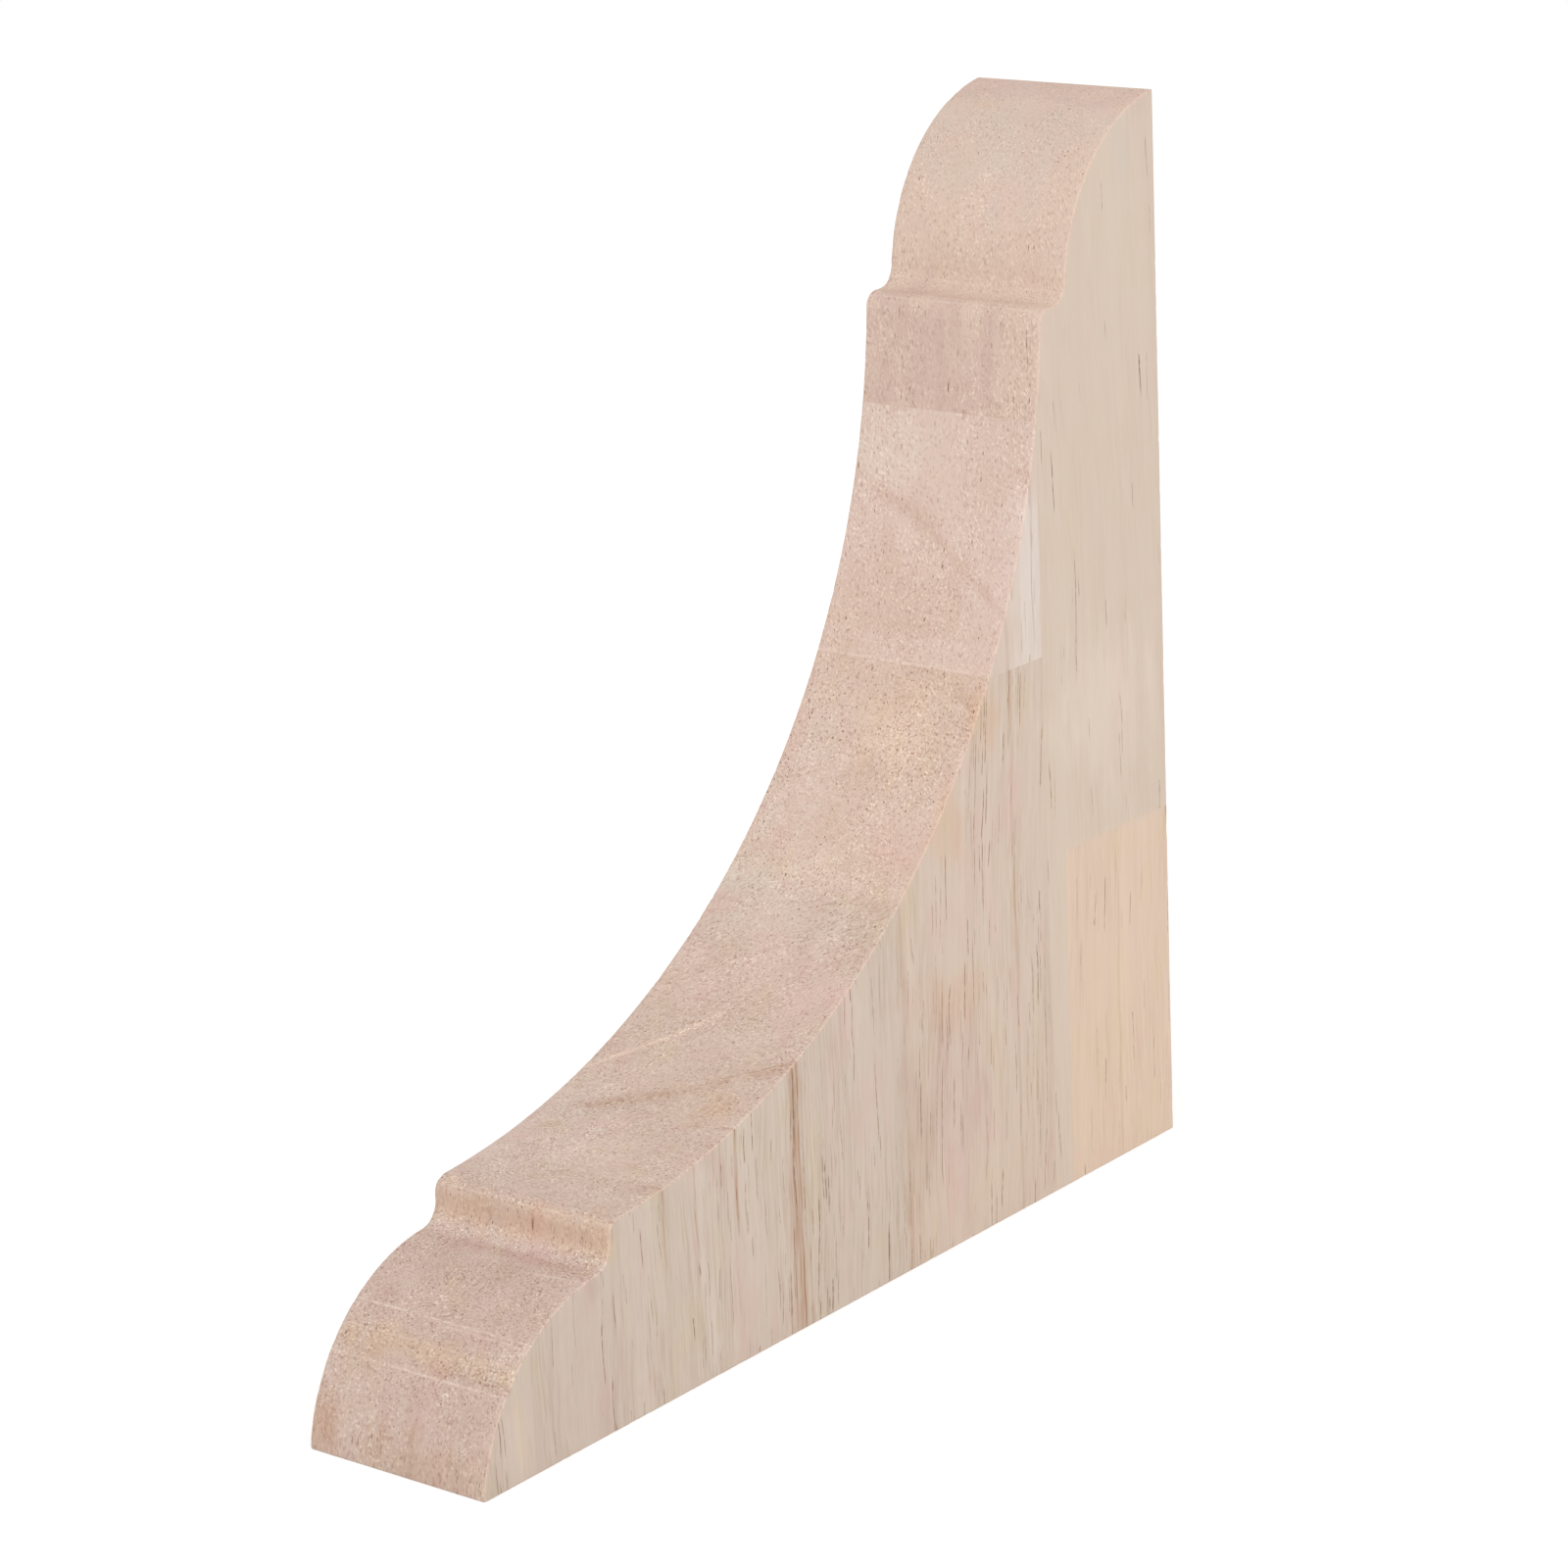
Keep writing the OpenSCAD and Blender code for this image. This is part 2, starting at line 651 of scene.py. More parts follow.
    def stain_group(self) -> bpy.types.NodeTree:
        """Builds the group that lays every stain over a colour.

        Returns:
            A group that takes a place in the board, its block's seed and a colour, and gives the
            stained colour.
        """
        bench = NodeBench.group(
            "Stains",
            TreeKind.SHADING,
            {"Board": (Port.VECTOR, None), "Seed": (Port.NUMBER, 0.0), "Color": (Port.COLOUR, None)},
            {"Color": Port.COLOUR},
        )
        board, colour = bench.given["Board"], bench.given["Color"]
        edge = bench.noise(self.RAGGED, board).centred() * self.stain_ragged
        for stain in self.stains:
            offset = bench.vector_math("SUBTRACT", board, stain.at_mm)
            away = bench.vector_math("DIVIDE", offset, stain.reach_mm)
            length = bench.node("ShaderNodeVectorMath", {0: away}, operation="LENGTH")
            mask = bench.ramp(bench.out(length, "Value") + edge, 1.0, self.stain_core, True)
            if stain.inside is not None:
                mask = mask * bench.same(bench.given["Seed"], stain.inside.seed)
            colour = bench.blend(mask, colour, bench.tint(colour, stain.tint))
        return bench.give(Color=colour)


@dataclass(frozen=True)
class Vessel:
    """A size of open vessel."""

    spacing_mm: float
    """Distance to its neighbour, across the fibres."""
    length_mm: float
    """Distance to the next along the fibres."""
    girth: float
    """Radius as a share of the distance to its neighbour."""
    darkness: float


@dataclass(frozen=True)
class WoodGroups:
    """The shared node groups that every finish of the board is made with."""

    board: bpy.types.NodeTree
    wood: bpy.types.NodeTree
    fibres: bpy.types.NodeTree
    # The group that paints the highlight and wear line along the arrises.
    arris: bpy.types.NodeTree


@dataclass(frozen=True)
class WoodWorkshop:
    """Builds the shared node groups for one board."""

    blank: GluedBlank
    growth: Growth
    vessels: tuple[Vessel, ...]
    wall_x: float
    near_y: float
    floor_z: float
    pore_colour: Colour = (0.240, 0.110, 0.055)
    streak_colour: Colour = (0.400, 0.205, 0.110)
    # Colour of the pale line along the arrises: painted highlight, with sanding wear.
    pale_colour: Colour = (0.810, 0.665, 0.540)
    arris_highlight_and_wear_colour: Colour = (0.780, 0.610, 0.465)
    band_weights: Colour = (0.16, 0.21, 0.25)
    """How far the broad rings lighten and darken red, green and blue."""
    line_weights: Colour = (0.12, 0.16, 0.20)
    """How far the fine fibres lighten and darken red, green and blue."""
    warm_tint: Colour = (0.990, 0.985, 0.910)
    pink_tint: Colour = (1.010, 0.945, 0.960)
    glue_colour: Colour = (0.430, 0.310, 0.220)
    pore_cover: float = 0.82
    streak_cover: float = 0.62
    pale_cover: float = 0.4
    glue_cover: float = 0.05
    """How much of the wood's own colour each of them hides."""
    line_relief_mm: float = 0.004
    pore_depth_mm: float = 0.05
    open_places: tuple[float, float] = (0.32, 0.62)
    """Levels of the drifting noise between which vessels open."""
    bead_levels: tuple[float, float] = (0.36, 0.54)
    bead_least: float = 0.35
    """Strength of a vessel where it is nearly closed, between its beads."""
    tint_levels: tuple[float, float] = (0.02, 0.36)
    """Levels of the mottle, above and below 0, where warm and pink tints come in."""
    thread_levels: tuple[float, float] = (0.1, -0.3)
    threads: tuple[float, float] = (0.7, 1.3)
    """Strength of a streak on pale fibres and on dark ones."""
    tuft_levels: tuple[float, float] = (0.30, 0.66)
    fuzz_levels: tuple[float, float] = (0.51, 0.70)
    crush_levels: tuple[float, float] = (0.54, 0.74)
    """Levels of their noises between which fibres come in tufts, stand up or lie crushed."""
    fuzz_share: tuple[float, float] = (0.25, 1.15)
    crush_share: tuple[float, float] = (0.6, 1.0)
    """Strength of raised and crushed fibres outside a tuft and in one."""
    fuzz_height_mm: float = 0.05
    crush_depth_mm: float = 0.04
    arris_highlight_levels: tuple[float, float] = (0.30, 0.55)
    # Levels of the noise between which the pale line along an arris, painted highlight with sanding
    # wear, breaks off.
    """Levels of the noise between which the pale line along an arris breaks off."""

    DRIFT = Noise((0.11, 0.11, 0.02), detail=1.0)
    BEADS = Noise((1.1, 1.1, 0.6), detail=1.0, start=5.0)
    FUZZ = Noise((3.6, 2.0, 1.2), detail=1.0)
    CRUSHED = Noise((3.3, 1.7, 1.0), detail=1.0, start=37.0)
    TUFTS = Noise((0.12, 0.12, 0.05), start=11.0)
    BREAKS = Noise((0.5, 0.5, 0.5), detail=3.0, rough=0.6)

    def groups(self) -> WoodGroups:
        """Builds every shared group once."""
        return WoodGroups(self.board_group(), self.wood_group(), self.fibre_group(), self.arris_highlight_group())

    def board_group(self) -> bpy.types.NodeTree:
        """Builds the group that turns Object coordinates into a place in the board, in millimetres."""
        bench = NodeBench.group(
            "Board Position",
            TreeKind.SHADING,
            {"Object": (Port.VECTOR, None)},
            {"Board": Port.VECTOR},
        )
        x, y, z = bench.parts(bench.given["Object"])
        across, deep, high = self.wall_x - x, y - self.near_y, z - self.floor_z
        return bench.give(Board=bench.vector(across / MM, deep / MM, high / MM))

    def wood_group(self) -> bpy.types.NodeTree:
        """Builds the group that gives the wood's own colour and relief at a place in the board.

        Returns:
            A group with Color, Height in millimetres, a Pores mask and the place in grain space.
        """
        bench = NodeBench.group(
            "Solid Wood",
            TreeKind.SHADING,
            {
                "Board": (Port.VECTOR, None),
                "Contrast": (Port.NUMBER, 1.0),
                "Pore Show": (Port.NUMBER, 1.0),
                "Streak Show": (Port.NUMBER, 1.0),
            },
            {
                "Color": Port.COLOUR,
                "Height": Port.NUMBER,
                "Pores": Port.NUMBER,
                "Grain Space": Port.VECTOR,
            },
        )
        board, contrast = bench.given["Board"], bench.given["Contrast"]
        block = bench.place(self.blank.group(), Board=board)
        grain = bench.place(
            self.growth.grain_group(),
            Board=board,
            Seed=block["Seed"],
            Slant=block["Slant"],
            Lean=block["Lean"],
        )
        streaks = bench.place(self.growth.streak_group(), Board=board)
        vessels = self.growth.vessel_group()
        space, figure = grain["Grain Space"], block["Figure"] * contrast
        drift = bench.noise(self.DRIFT, board, block["Seed"])
        share = block["Pores"] * bench.ramp(drift, *self.open_places)
        pores: Number = 0.0
        for kind in self.vessels:
            made = bench.place(
                vessels,
                Grain_Space=space,
                Across=kind.spacing_mm,
                Along=kind.length_mm,
                Size=kind.girth,
                Share=share,
            )
            pores = bench.math("MAXIMUM", pores, made["Mask"] * kind.darkness)
        beads = bench.ramp(bench.noise(self.BEADS, space), *self.bead_levels)
        pores = pores * bench.between(beads, self.bead_least, 1.0)

        colour = bench.grade(block["Tone"], grain["Bands"] * figure, self.band_weights)
        colour = bench.grade(colour, grain["Lines"] * figure, self.line_weights)
        warm = bench.ramp(grain["Mottle"], *self.tint_levels, True)
        pink = bench.ramp(grain["Mottle"] * -1.0, *self.tint_levels, True)
        colour = bench.blend(warm * figure, colour, bench.tint(colour, self.warm_tint))
        colour = bench.blend(pink * figure, colour, bench.tint(colour, self.pink_tint))
        stains = self.growth.stain_group()
        colour = bench.place(stains, Board=board, Seed=block["Seed"], Color=colour)["Color"]
        threads = bench.between(bench.ramp(grain["Lines"], *self.thread_levels), *self.threads)
        stained = streaks["Dark"] * threads * bench.given["Streak Show"]
        shown = pores * bench.given["Pore Show"]
        for mask, cover, over in (
            (stained, self.streak_cover, self.streak_colour),
            (streaks["Pale"], self.pale_cover, self.pale_colour),
            (block["Glue"], self.glue_cover, self.glue_colour),
            (shown, self.pore_cover, self.pore_colour),
        ):
            colour = bench.blend(mask * cover, colour, (*over, 1.0))
        height = grain["Lines"] * self.line_relief_mm - shown * self.pore_depth_mm
        return bench.give(Color=colour, Height=height, Pores=shown, Grain_Space=space)

    def fibre_group(self) -> bpy.types.NodeTree:
        """Builds the group for fibres that the cutter raised.

        Returns:
            A group that takes a place in grain space and gives masks and a height in millimetres.
        """
        bench = NodeBench.group(
            "Raised Fibres",
            TreeKind.SHADING,
            {"Grain Space": (Port.VECTOR, None)},
            {"Light": Port.NUMBER, "Dark": Port.NUMBER, "Height": Port.NUMBER},
        )
        space = bench.given["Grain Space"]
        tuft = bench.ramp(bench.noise(self.TUFTS, space), *self.tuft_levels)
        light = bench.ramp(bench.noise(self.FUZZ, space), *self.fuzz_levels)
        light = light * bench.between(tuft, *self.fuzz_share)
        dark = bench.ramp(bench.noise(self.CRUSHED, space), *self.crush_levels)
        dark = dark * bench.between(tuft, *self.crush_share)
        height = light * self.fuzz_height_mm - dark * self.crush_depth_mm
        return bench.give(Light=light, Dark=dark, Height=height)

    def arris_highlight_group(self) -> bpy.types.NodeTree:
        """Builds the group for the pale line along an arris: painted highlight, with the wear that
        light sanding leaves.

        Returns:
            A group that gives the colour with the line on it, and the line's mask.
        """
        bench = NodeBench.group(
            "Eased Arris",
            TreeKind.SHADING,
            {
                "Board": (Port.VECTOR, None),
                "Color": (Port.COLOUR, None),
                "Strength": (Port.NUMBER, 1.0),
                "Pale": (Port.COLOUR, (*self.arris_highlight_and_wear_colour, 1.0)),
            },
            {"Color": Port.COLOUR, "Mask": Port.NUMBER},
        )
        given = bench.given
        broken = bench.ramp(bench.noise(self.BREAKS, given["Board"]), *self.arris_highlight_levels)
        # Mask of the painted highlight and wear line along the arrises.
        mask = bench.stored(ARRIS_NAME) * broken * given["Strength"]
        return bench.give(Color=bench.blend(mask, given["Color"], given["Pale"]), Mask=mask)


# ---------------------------------------------------------------- finishes

ARRIS_NAME, TRAVEL_NAME, ZONE_NAME = "arris", "cutter_travel", "finish_zone"


class Zone(Enum):
    """Which finish a face of the board has."""

    SANDED = 0
    ROUTED = 1
    CROSS_CUT = 2

    @property
    def socket(self) -> str:
        """Title of the loft's input for its material."""
        return socket_title(self.name)


@dataclass(frozen=True)
class WoodFinish:
    """A finish on the bare wood."""

    zone: Zone
    title: str
    tint: Colour
    """Multiplies the wood's own colour."""
    contrast: float
    pore_show: float
    roughness: float
    arris: float
    # Strength of the pale line along its arrises: painted highlight, with sanding wear.
    """Strength of the pale line along its arrises."""
    streak_show: float = 1.0
    specular: float = 0.28
    pore_rough: float = 0.12
    """How much rougher an open vessel is."""
    arris_polish: float = 0.06
    """How much smoother a sanded arris is."""

    def material(self, groups: WoodGroups) -> bpy.types.Material:
        """Builds the finish's material.

        Args:
            groups: the shared node groups.

        Returns:
            A material with colour, roughness and relief from the solid wood.
        """
        made = bpy.data.materials.new(self.title)
        made.use_nodes = True
        made.node_tree.nodes.clear()
        bench = NodeBench(made.node_tree)
        here = bench.out(bench.node("ShaderNodeTexCoord"), "Object")
        board = bench.place(groups.board, Object=here)["Board"]
        wood = bench.place(
            groups.wood,
            Board=board,
            Contrast=self.contrast,
            Pore_Show=self.pore_show,
            Streak_Show=self.streak_show,
        )
        wood["Color"] = bench.tint(wood["Color"], self.tint)
        colour, height = self.work(bench, groups, board, wood)
        # The pale line laid along the arrises here is painted highlight, with sanding wear.
        eased = bench.place(groups.arris, Board=board, Color=colour, Strength=self.arris)
        bump = bench.node("ShaderNodeBump", {"Strength": 1.0, "Distance": MM, "Height": height})
        rough = wood["Pores"] * self.pore_rough - eased["Mask"] * self.arris_polish
        shader = bench.node(
            "ShaderNodeBsdfPrincipled",
            {
                "Base Color": eased["Color"],
                "Roughness": rough + self.roughness,
                "Specular IOR Level": self.specular,
                "Normal": bench.out(bump),
            },
        )
        bench.node("ShaderNodeOutputMaterial", {"Surface": bench.out(shader)})
        return made

    def work(
        self, bench: NodeBench, groups: WoodGroups, board: Field, wood: dict[str, Field]
    ) -> tuple[Field, Field]:
        """Marks that the finish's tool leaves: none on a sanded face."""
        return wood["Color"], wood["Height"]


@dataclass(frozen=True)
class Ridge:
    """A fine ridge across the moulding where the cutter dwelt, with a slight rise in the relief and a
    pale line painted along it, which on the moulding's step edges is painted highlight.
    """

    travel_mm: float
    """How far round the moulding it is, from the upper tip."""
    strength: float = 1.0
    far_mm: float = 60.0
    """How deep into the board it reaches from the near side."""
    slant: float = 0.0
    """How far it moves round the moulding for each unit of depth."""


@dataclass(frozen=True)
class RoutedFinish(WoodFinish):
    """The moulded edge as the cutter left it, with its fibres raised."""

    ridges: tuple[Ridge, ...] = ()
    ridge_mm: float = 0.32
    """Half the width of a ridge."""
    # Colour of a ridge's pale line, which is partly painted highlight.
    ridge_highlight_colour: Colour = (0.830, 0.670, 0.550)
    ripple_mm: float = 1.7
    """Distance between the cutter's marks."""
    fuzz_weights: Colour = (0.28, 0.38, 0.35)
    """How far raised fibres lighten red, green and blue."""
    bruise_weights: Colour = (0.25, 0.36, 0.37)
    """How far crushed fibres darken red, green and blue."""
    fuzz_start: float = 0.60
    """Strength of the raised fibres at the upper tip, where the cut ran along them."""
    fuzz_growth: float = 0.0026
    """How much stronger they are for each millimetre round the moulding."""
    riser_mm: float = 253.15
    """Where the lower step's riser is, whose long grain was cut cleanly."""
    riser_reach_mm: float = 2.7
    riser_calm: float = 0.5
    """Share of the raised fibres that the riser is without."""
    tip_mm: float = 291.0
    """Where the lower nose turns down to its tip, and the sander took off some of them."""
    tip_reach_mm: float = 4.0
    tip_calm: float = 0.32
    calm_core: float = 0.7
    """Share of the riser's reach over which it is calmest."""
    ridge_highlight_cover: float = 0.5
    ridge_height_mm: float = 0.02
    ridge_fade_mm: float = 4.0
    """Length over which a short ridge ends."""
    ridge_levels: tuple[float, float] = (0.32, 0.58)
    """Levels of the noise between which a ridge breaks off."""
    ripple_height_mm: float = 0.004

    BREAKS = Noise((0.4, 0.4, 0.4), detail=3.0, rough=0.6)

    def work(
        self, bench: NodeBench, groups: WoodGroups, board: Field, wood: dict[str, Field]
    ) -> tuple[Field, Field]:
        """Raises the fibres, adds the faint ripple of the cutter and paints the ridges' pale lines,
        which are partly painted highlight.

        Args:
            bench: the material's bench.
            groups: the shared node groups.
            board: the place in the board.
            wood: the solid wood's values there.

        Returns:
            The colour and the relief with the marks on them.
        """
        travel = bench.stored(TRAVEL_NAME)
        fuzz = bench.place(groups.fibres, Grain_Space=wood["Grain Space"])
        vigour = (travel * self.fuzz_growth + self.fuzz_start) * (1.0 - self.calm(bench, travel))
        colour = bench.grade(wood["Color"], fuzz["Light"] * vigour, self.fuzz_weights)
        colour = bench.grade(colour, fuzz["Dark"] * vigour * -1.0, self.bruise_weights)
        lines = self.ridge_lines(bench, board, travel)
        # Pale ridge lines, painted highlight where they sit on the moulding's step edges.
        colour = bench.blend(lines * self.ridge_highlight_cover, colour, (*self.ridge_highlight_colour, 1.0))
        ripple = bench.math("SINE", travel * (2 * HALF_TURN / self.ripple_mm))
        relief = ripple * self.ripple_height_mm + lines * self.ridge_height_mm
        return colour, wood["Height"] + fuzz["Height"] + relief

    def calm(self, bench: NodeBench, travel: Field) -> Field:
        """Share of the raised fibres that is missing at a place on the moulding."""
        away = bench.math("ABSOLUTE", travel - self.riser_mm)
        riser = bench.ramp(away, self.riser_reach_mm, self.riser_reach_mm * self.calm_core)
        tip = bench.ramp(travel, self.tip_mm - self.tip_reach_mm, self.tip_mm)
        return riser * self.riser_calm + tip * self.tip_calm

    def ridge_lines(self, bench: NodeBench, board: Field, travel: Field) -> Field:
        """A mask of the ridges and their pale lines, partly painted highlight, broken here and there.
        """
        deep = bench.parts(board)[1]
        lines: Number = 0.0
        for ridge in self.ridges:
            away = bench.math("ABSOLUTE", travel - deep * ridge.slant - ridge.travel_mm)
            line = bench.ramp(away, self.ridge_mm, 0.0)
            reach = bench.ramp(deep, ridge.far_mm, ridge.far_mm - self.ridge_fade_mm)
            lines = bench.math("MAXIMUM", lines, line * reach * ridge.strength)
        return lines * bench.ramp(bench.noise(self.BREAKS, board), *self.ridge_levels)


@dataclass(frozen=True)
class CrossCutFinish(WoodFinish):
    """The underside, sawn across the fibres, so that its rings and vessel ends show."""

    saw_mm: float = 2.2
    """Distance between the saw's marks."""
    saw_weights: Colour = (0.025, 0.028, 0.03)
    """How far the saw's marks lighten and darken red, green and blue."""
    saw_centre_mm: tuple[float, float] = (-30.0, 150.0)
    """Where the saw turned: across and deep."""
    saw_depth_mm: float = 0.012
    mark_levels: tuple[float, float] = (0.35, 0.65)
    """Levels of the noise between which the marks show."""

    PATCHY = Noise((0.05, 0.05, 0.05))

    def work(
        self, bench: NodeBench, groups: WoodGroups, board: Field, wood: dict[str, Field]
    ) -> tuple[Field, Field]:
        """Adds the curved marks of the saw.

        Args:
            bench: the material's bench.
            groups: the shared node groups; not used.
            board: the place in the board.
            wood: the solid wood's values there.

        Returns:
            The colour and the relief with the marks on them.
        """
        across, deep, _ = bench.parts(board)
        arc = bench.hypot(across - self.saw_centre_mm[0], deep - self.saw_centre_mm[1])
        marks = bench.math("SINE", arc * (2 * HALF_TURN / self.saw_mm))
        cut = marks * bench.ramp(bench.noise(self.PATCHY, board), *self.mark_levels)
        colour = bench.grade(wood["Color"], cut, self.saw_weights)
        return colour, wood["Height"] + cut * self.saw_depth_mm


# ---------------------------------------------------------------- the board's shape


@dataclass(frozen=True)
class Stretch:
    """A run of columns or rows in the loft, counted from the first."""

    first: int
    count: int

    @property
    def last(self) -> int:
        """Where the run ends."""
        return self.first + self.count

    def progress(self, bench: NodeBench, number: Field) -> Field:
        """How far along the run a column or row is, from 0 to 1."""
        return bench.ramp(number, float(self.first), float(self.last))


def stretches(*counts: int) -> list[Stretch]:
    """Lays runs end to end, one for each count."""
    return [Stretch(sum(counts[:place]), count) for place, count in enumerate(counts)]


@dataclass(frozen=True)
class Moulding:
    """Sizes of the moulding that is cut round the board's edge."""

    tip_flat: float = 0.6 * MM
    nose_depth: float = 28.6 * MM
    nose_length: float = 29.3 * MM
    nose_radius: float = 33.4 * MM
    quirk: float = 0.02 * MM
    """Sanding has left hardly anything of the sharp set-back, so the ledge is as much shorter."""
    hollow_radius: float = 4.1 * MM
    ledge: float = 0.92 * MM
    corner_radius: float = 2.9 * MM
    cove_inset: float = 27.8 * MM


@dataclass
class PathPoint:
    """A point of the board's outline, as fields over the columns of the loft."""

    out: Field
    """Distance out from the wall face."""
    up: Field
    """Height over the underside."""
    facing: Field
    """Angle of the outward normal."""
    travel: Field
    """Distance that the cutter has travelled round the moulding."""
    whole: Field | None = None
    """Distance to the middle of the moulding."""


@dataclass
class CorbelBoard:
    """The bracket itself: one board lofted from its two flat faces out to its moulding.

    Columns of the loft follow the moulding from the upper tip to the lower one. Rows go
    round the board: across the moulded edge, over the far side, across the flat faces
    and back over the near side, with a rounded arris between each pair.
    """

    low: Vector
    high: Vector
    moulding: Moulding = field(default_factory=Moulding)
    arris: float = 0.35 * MM
    """Radius of the eased arrises."""
    unevenness: float = 0.05 * MM
    """Depth of the routed face's hollows."""
    nicks: float = 0.18 * MM
    """Depth of the nicks in the arrises."""
    nick_levels: tuple[float, float] = (0.56, 0.80)
    """Levels of the noise between which a nick deepens."""
    crease: float = math.radians(32)
    """An edge that turns more than this stays crisp."""
    off_arris: float = 0.01
    """The arris mask of a face that is on no arris is below this."""
    weld: float = 0.0005 * MM
    """Points closer than this become one."""
    seed: float = 4.0
    strip_rows: int = 36
    arris_rows: int = 4
    side_rows: int = 28
    wall_share: tuple[float, ...] = (0.0, 0.004, 0.235, 0.004, 0.038, 0.010, 0.034, 0.675)
    """Share of the wall face behind each run of the half moulding, none behind the first arc."""
    run_columns: tuple[int, ...] = (4, 1, 60, 1, 14, 2, 10, 140)
    """Columns in each run: easing, flat, nose, quirk, hollow, ledge, corner and half cove."""
    turn_columns: int = 3
    """Columns that go round the square corner's easing."""

    HOLLOWS = Noise((140.0, 90.0, 140.0))
    BITES = Noise((420.0, 300.0, 420.0), rough=0.6)

    @property
    def half_columns(self) -> int:
        """Columns from the upper tip to the middle of the cove."""
        return sum(self.run_columns)

    def inputs(self) -> dict[str, float]:
        """Sizes that the loft takes, by the names of its inputs."""
        sizes = {size.name: getattr(self.moulding, size.name) for size in fields(self.moulding)}
        return {socket_title(name): value for name, value in sizes.items()} | {
            "Leg": self.high.z - self.low.z,
            "Thickness": self.high.y - self.low.y,
            "Arris": self.arris,
            "Unevenness": self.unevenness,
            "Nicks": self.nicks,
            "Seed": self.seed,
        }

    def path(self, bench: NodeBench, column: Field) -> PathPoint:
        """Walks the half moulding, run by run, from the upper tip to the middle of the cove.

        Each run adds its own step to the point, its turn to the normal and its length to
        the travel, in proportion to how far along it the column is.

        Args:
            bench: the loft being built.
            column: the column, folded about the middle.

        Returns:
            The outline's point at the column.
        """
        size, math_of = bench.given, bench.math
        leg, ease, flat = size["Leg"], size["Arris"], size["Tip Flat"]
        depth, length, radius = size["Nose Depth"], size["Nose Length"], size["Nose Radius"]
        rise = depth - flat
        half = bench.hypot(rise, length) / 2.0
        back = math_of("SQRT", radius * radius - half * half)
        nose_out = (flat + depth - back * length / half) / 2.0
        nose_up = leg - (length + back * rise / half) / 2.0
        nose_start = math_of("ARCTAN2", leg - nose_up, flat - nose_out)
        nose_end = math_of("ARCTAN2", leg - length - nose_up, depth - nose_out)
        hollow, corner, ledge = size["Hollow Radius"], size["Corner Radius"], size["Ledge"]
        corner_out = depth - size["Quirk"] + hollow + ledge
        corner_up = leg - length - hollow - corner
        centre = leg - size["Cove Inset"]
        cove = bench.hypot(centre - corner_out, centre - corner_up) - corner
        handover = math_of("ARCTAN2", centre - corner_up, centre - corner_out)
        # Each run: an arc has a radius, the angle where it starts and its turn, and a flat
        # has a length and a radius of None.
        runs: list[tuple[Number | None, Number, Number]] = [
            (ease, HALF_TURN, -QUARTER),
            (None, flat - ease, 0.0),
            (radius, nose_start, nose_end - nose_start),
            (None, size["Quirk"] * -1.0, 0.0),
            (hollow, HALF_TURN, QUARTER),
            (None, ledge, 0.0),
            (corner, QUARTER, handover - QUARTER),
            (cove, handover + HALF_TURN, QUARTER / 2 - handover),
        ]
        places = stretches(*self.run_columns)
        out, up = bench.math("MULTIPLY", leg, 0.0), leg - ease
        travel, whole = out, out
        facing: Number = HALF_TURN
        for (bend, start, turn), place in zip(runs, places, strict=True):
            along = place.progress(bench, column)
            length = math_of("ABSOLUTE", start if bend is None else math_of("MULTIPLY", bend, turn))
            travel, whole = travel + along * length, whole + length
            if bend is None:
                out = out + along * start
                continue
            angle = along * turn + start
            out = out + bend * (math_of("COSINE", angle) - math_of("COSINE", start))
            up = up + bend * (math_of("SINE", angle) - math_of("SINE", start))
            facing = along * turn + facing
        # The normal turns at once where the nose starts and where it ends.
        nose = places[2]
        kinks = ((nose.first, nose_start - QUARTER), (nose.last, nose_end * -1.0))
        for column_at, turn in kinks:
            facing = Stretch(column_at - 1, 2).progress(bench, column) * turn + facing
        return PathPoint(out, up, facing, travel, whole)

    def wall(self, bench: NodeBench, column: Field) -> PathPoint:
        """Walks the wall face from its top down and halfway round the eased square corner.

        Args:
            bench: the loft being built.
            column: the column, folded about the middle.

        Returns:
            The point of the flat faces that lies behind the column.
        """
        leg, ease = bench.given["Leg"], bench.given["Arris"]
        places = stretches(*self.run_columns)
        last = places[-1]
        places[-1] = Stretch(last.first, last.count - self.turn_columns)
        down = bench.math("MULTIPLY", leg, 0.0)
        for share, place in zip(self.wall_share, places, strict=True):
            down = down + place.progress(bench, column) * share
        turned = Stretch(places[-1].last, self.turn_columns).progress(bench, column)
        facing = turned * (QUARTER / 2) + HALF_TURN
        out = ease * (bench.math("COSINE", facing) + 1.0)
        up = (leg - ease) - (leg - ease * 2.0) * down + ease * bench.math("SINE", facing)
        return PathPoint(out, up, facing, down)

    def loft_tree(self) -> bpy.types.NodeTree:
        """Builds the Geometry Nodes tree that lofts the board.

        Returns:
            A tree with an input for each size and one for each finish.
        """
        takes: dict[str, tuple[Port, object]] = {
            name: (Port.NUMBER, value) for name, value in self.inputs().items()
        }
        takes |= {zone.socket: (Port.MATERIAL, None) for zone in Zone}
        bench = NodeBench.group("Corbel Loft", TreeKind.SHAPE, takes, {"Board": Port.SHAPE})
        rows = stretches(*([self.strip_rows, self.arris_rows, self.side_rows, self.arris_rows] * 2))
        columns, row_count = 2 * self.half_columns, rows[-1].last
        grid = {"Vertices X": columns + 1, "Vertices Y": row_count + 1}
        shape = bench.put("GeometryNodeMeshGrid", grid)
        index = bench.put("GeometryNodeInputIndex")
        column = bench.math("FLOOR", (index + 0.5) / float(row_count + 1))
        row = index - column * float(row_count + 1)
        second = bench.math("GREATER_THAN", column, float(self.half_columns))
        folded = bench.math("MINIMUM", column, columns - column)

        point, behind = self.path(bench, folded), self.wall(bench, folded)
        place, arris_mask = self.section(bench, rows, row, second, point, behind)
        travel = bench.between(second, point.travel, point.whole * 2.0 - point.travel) / MM

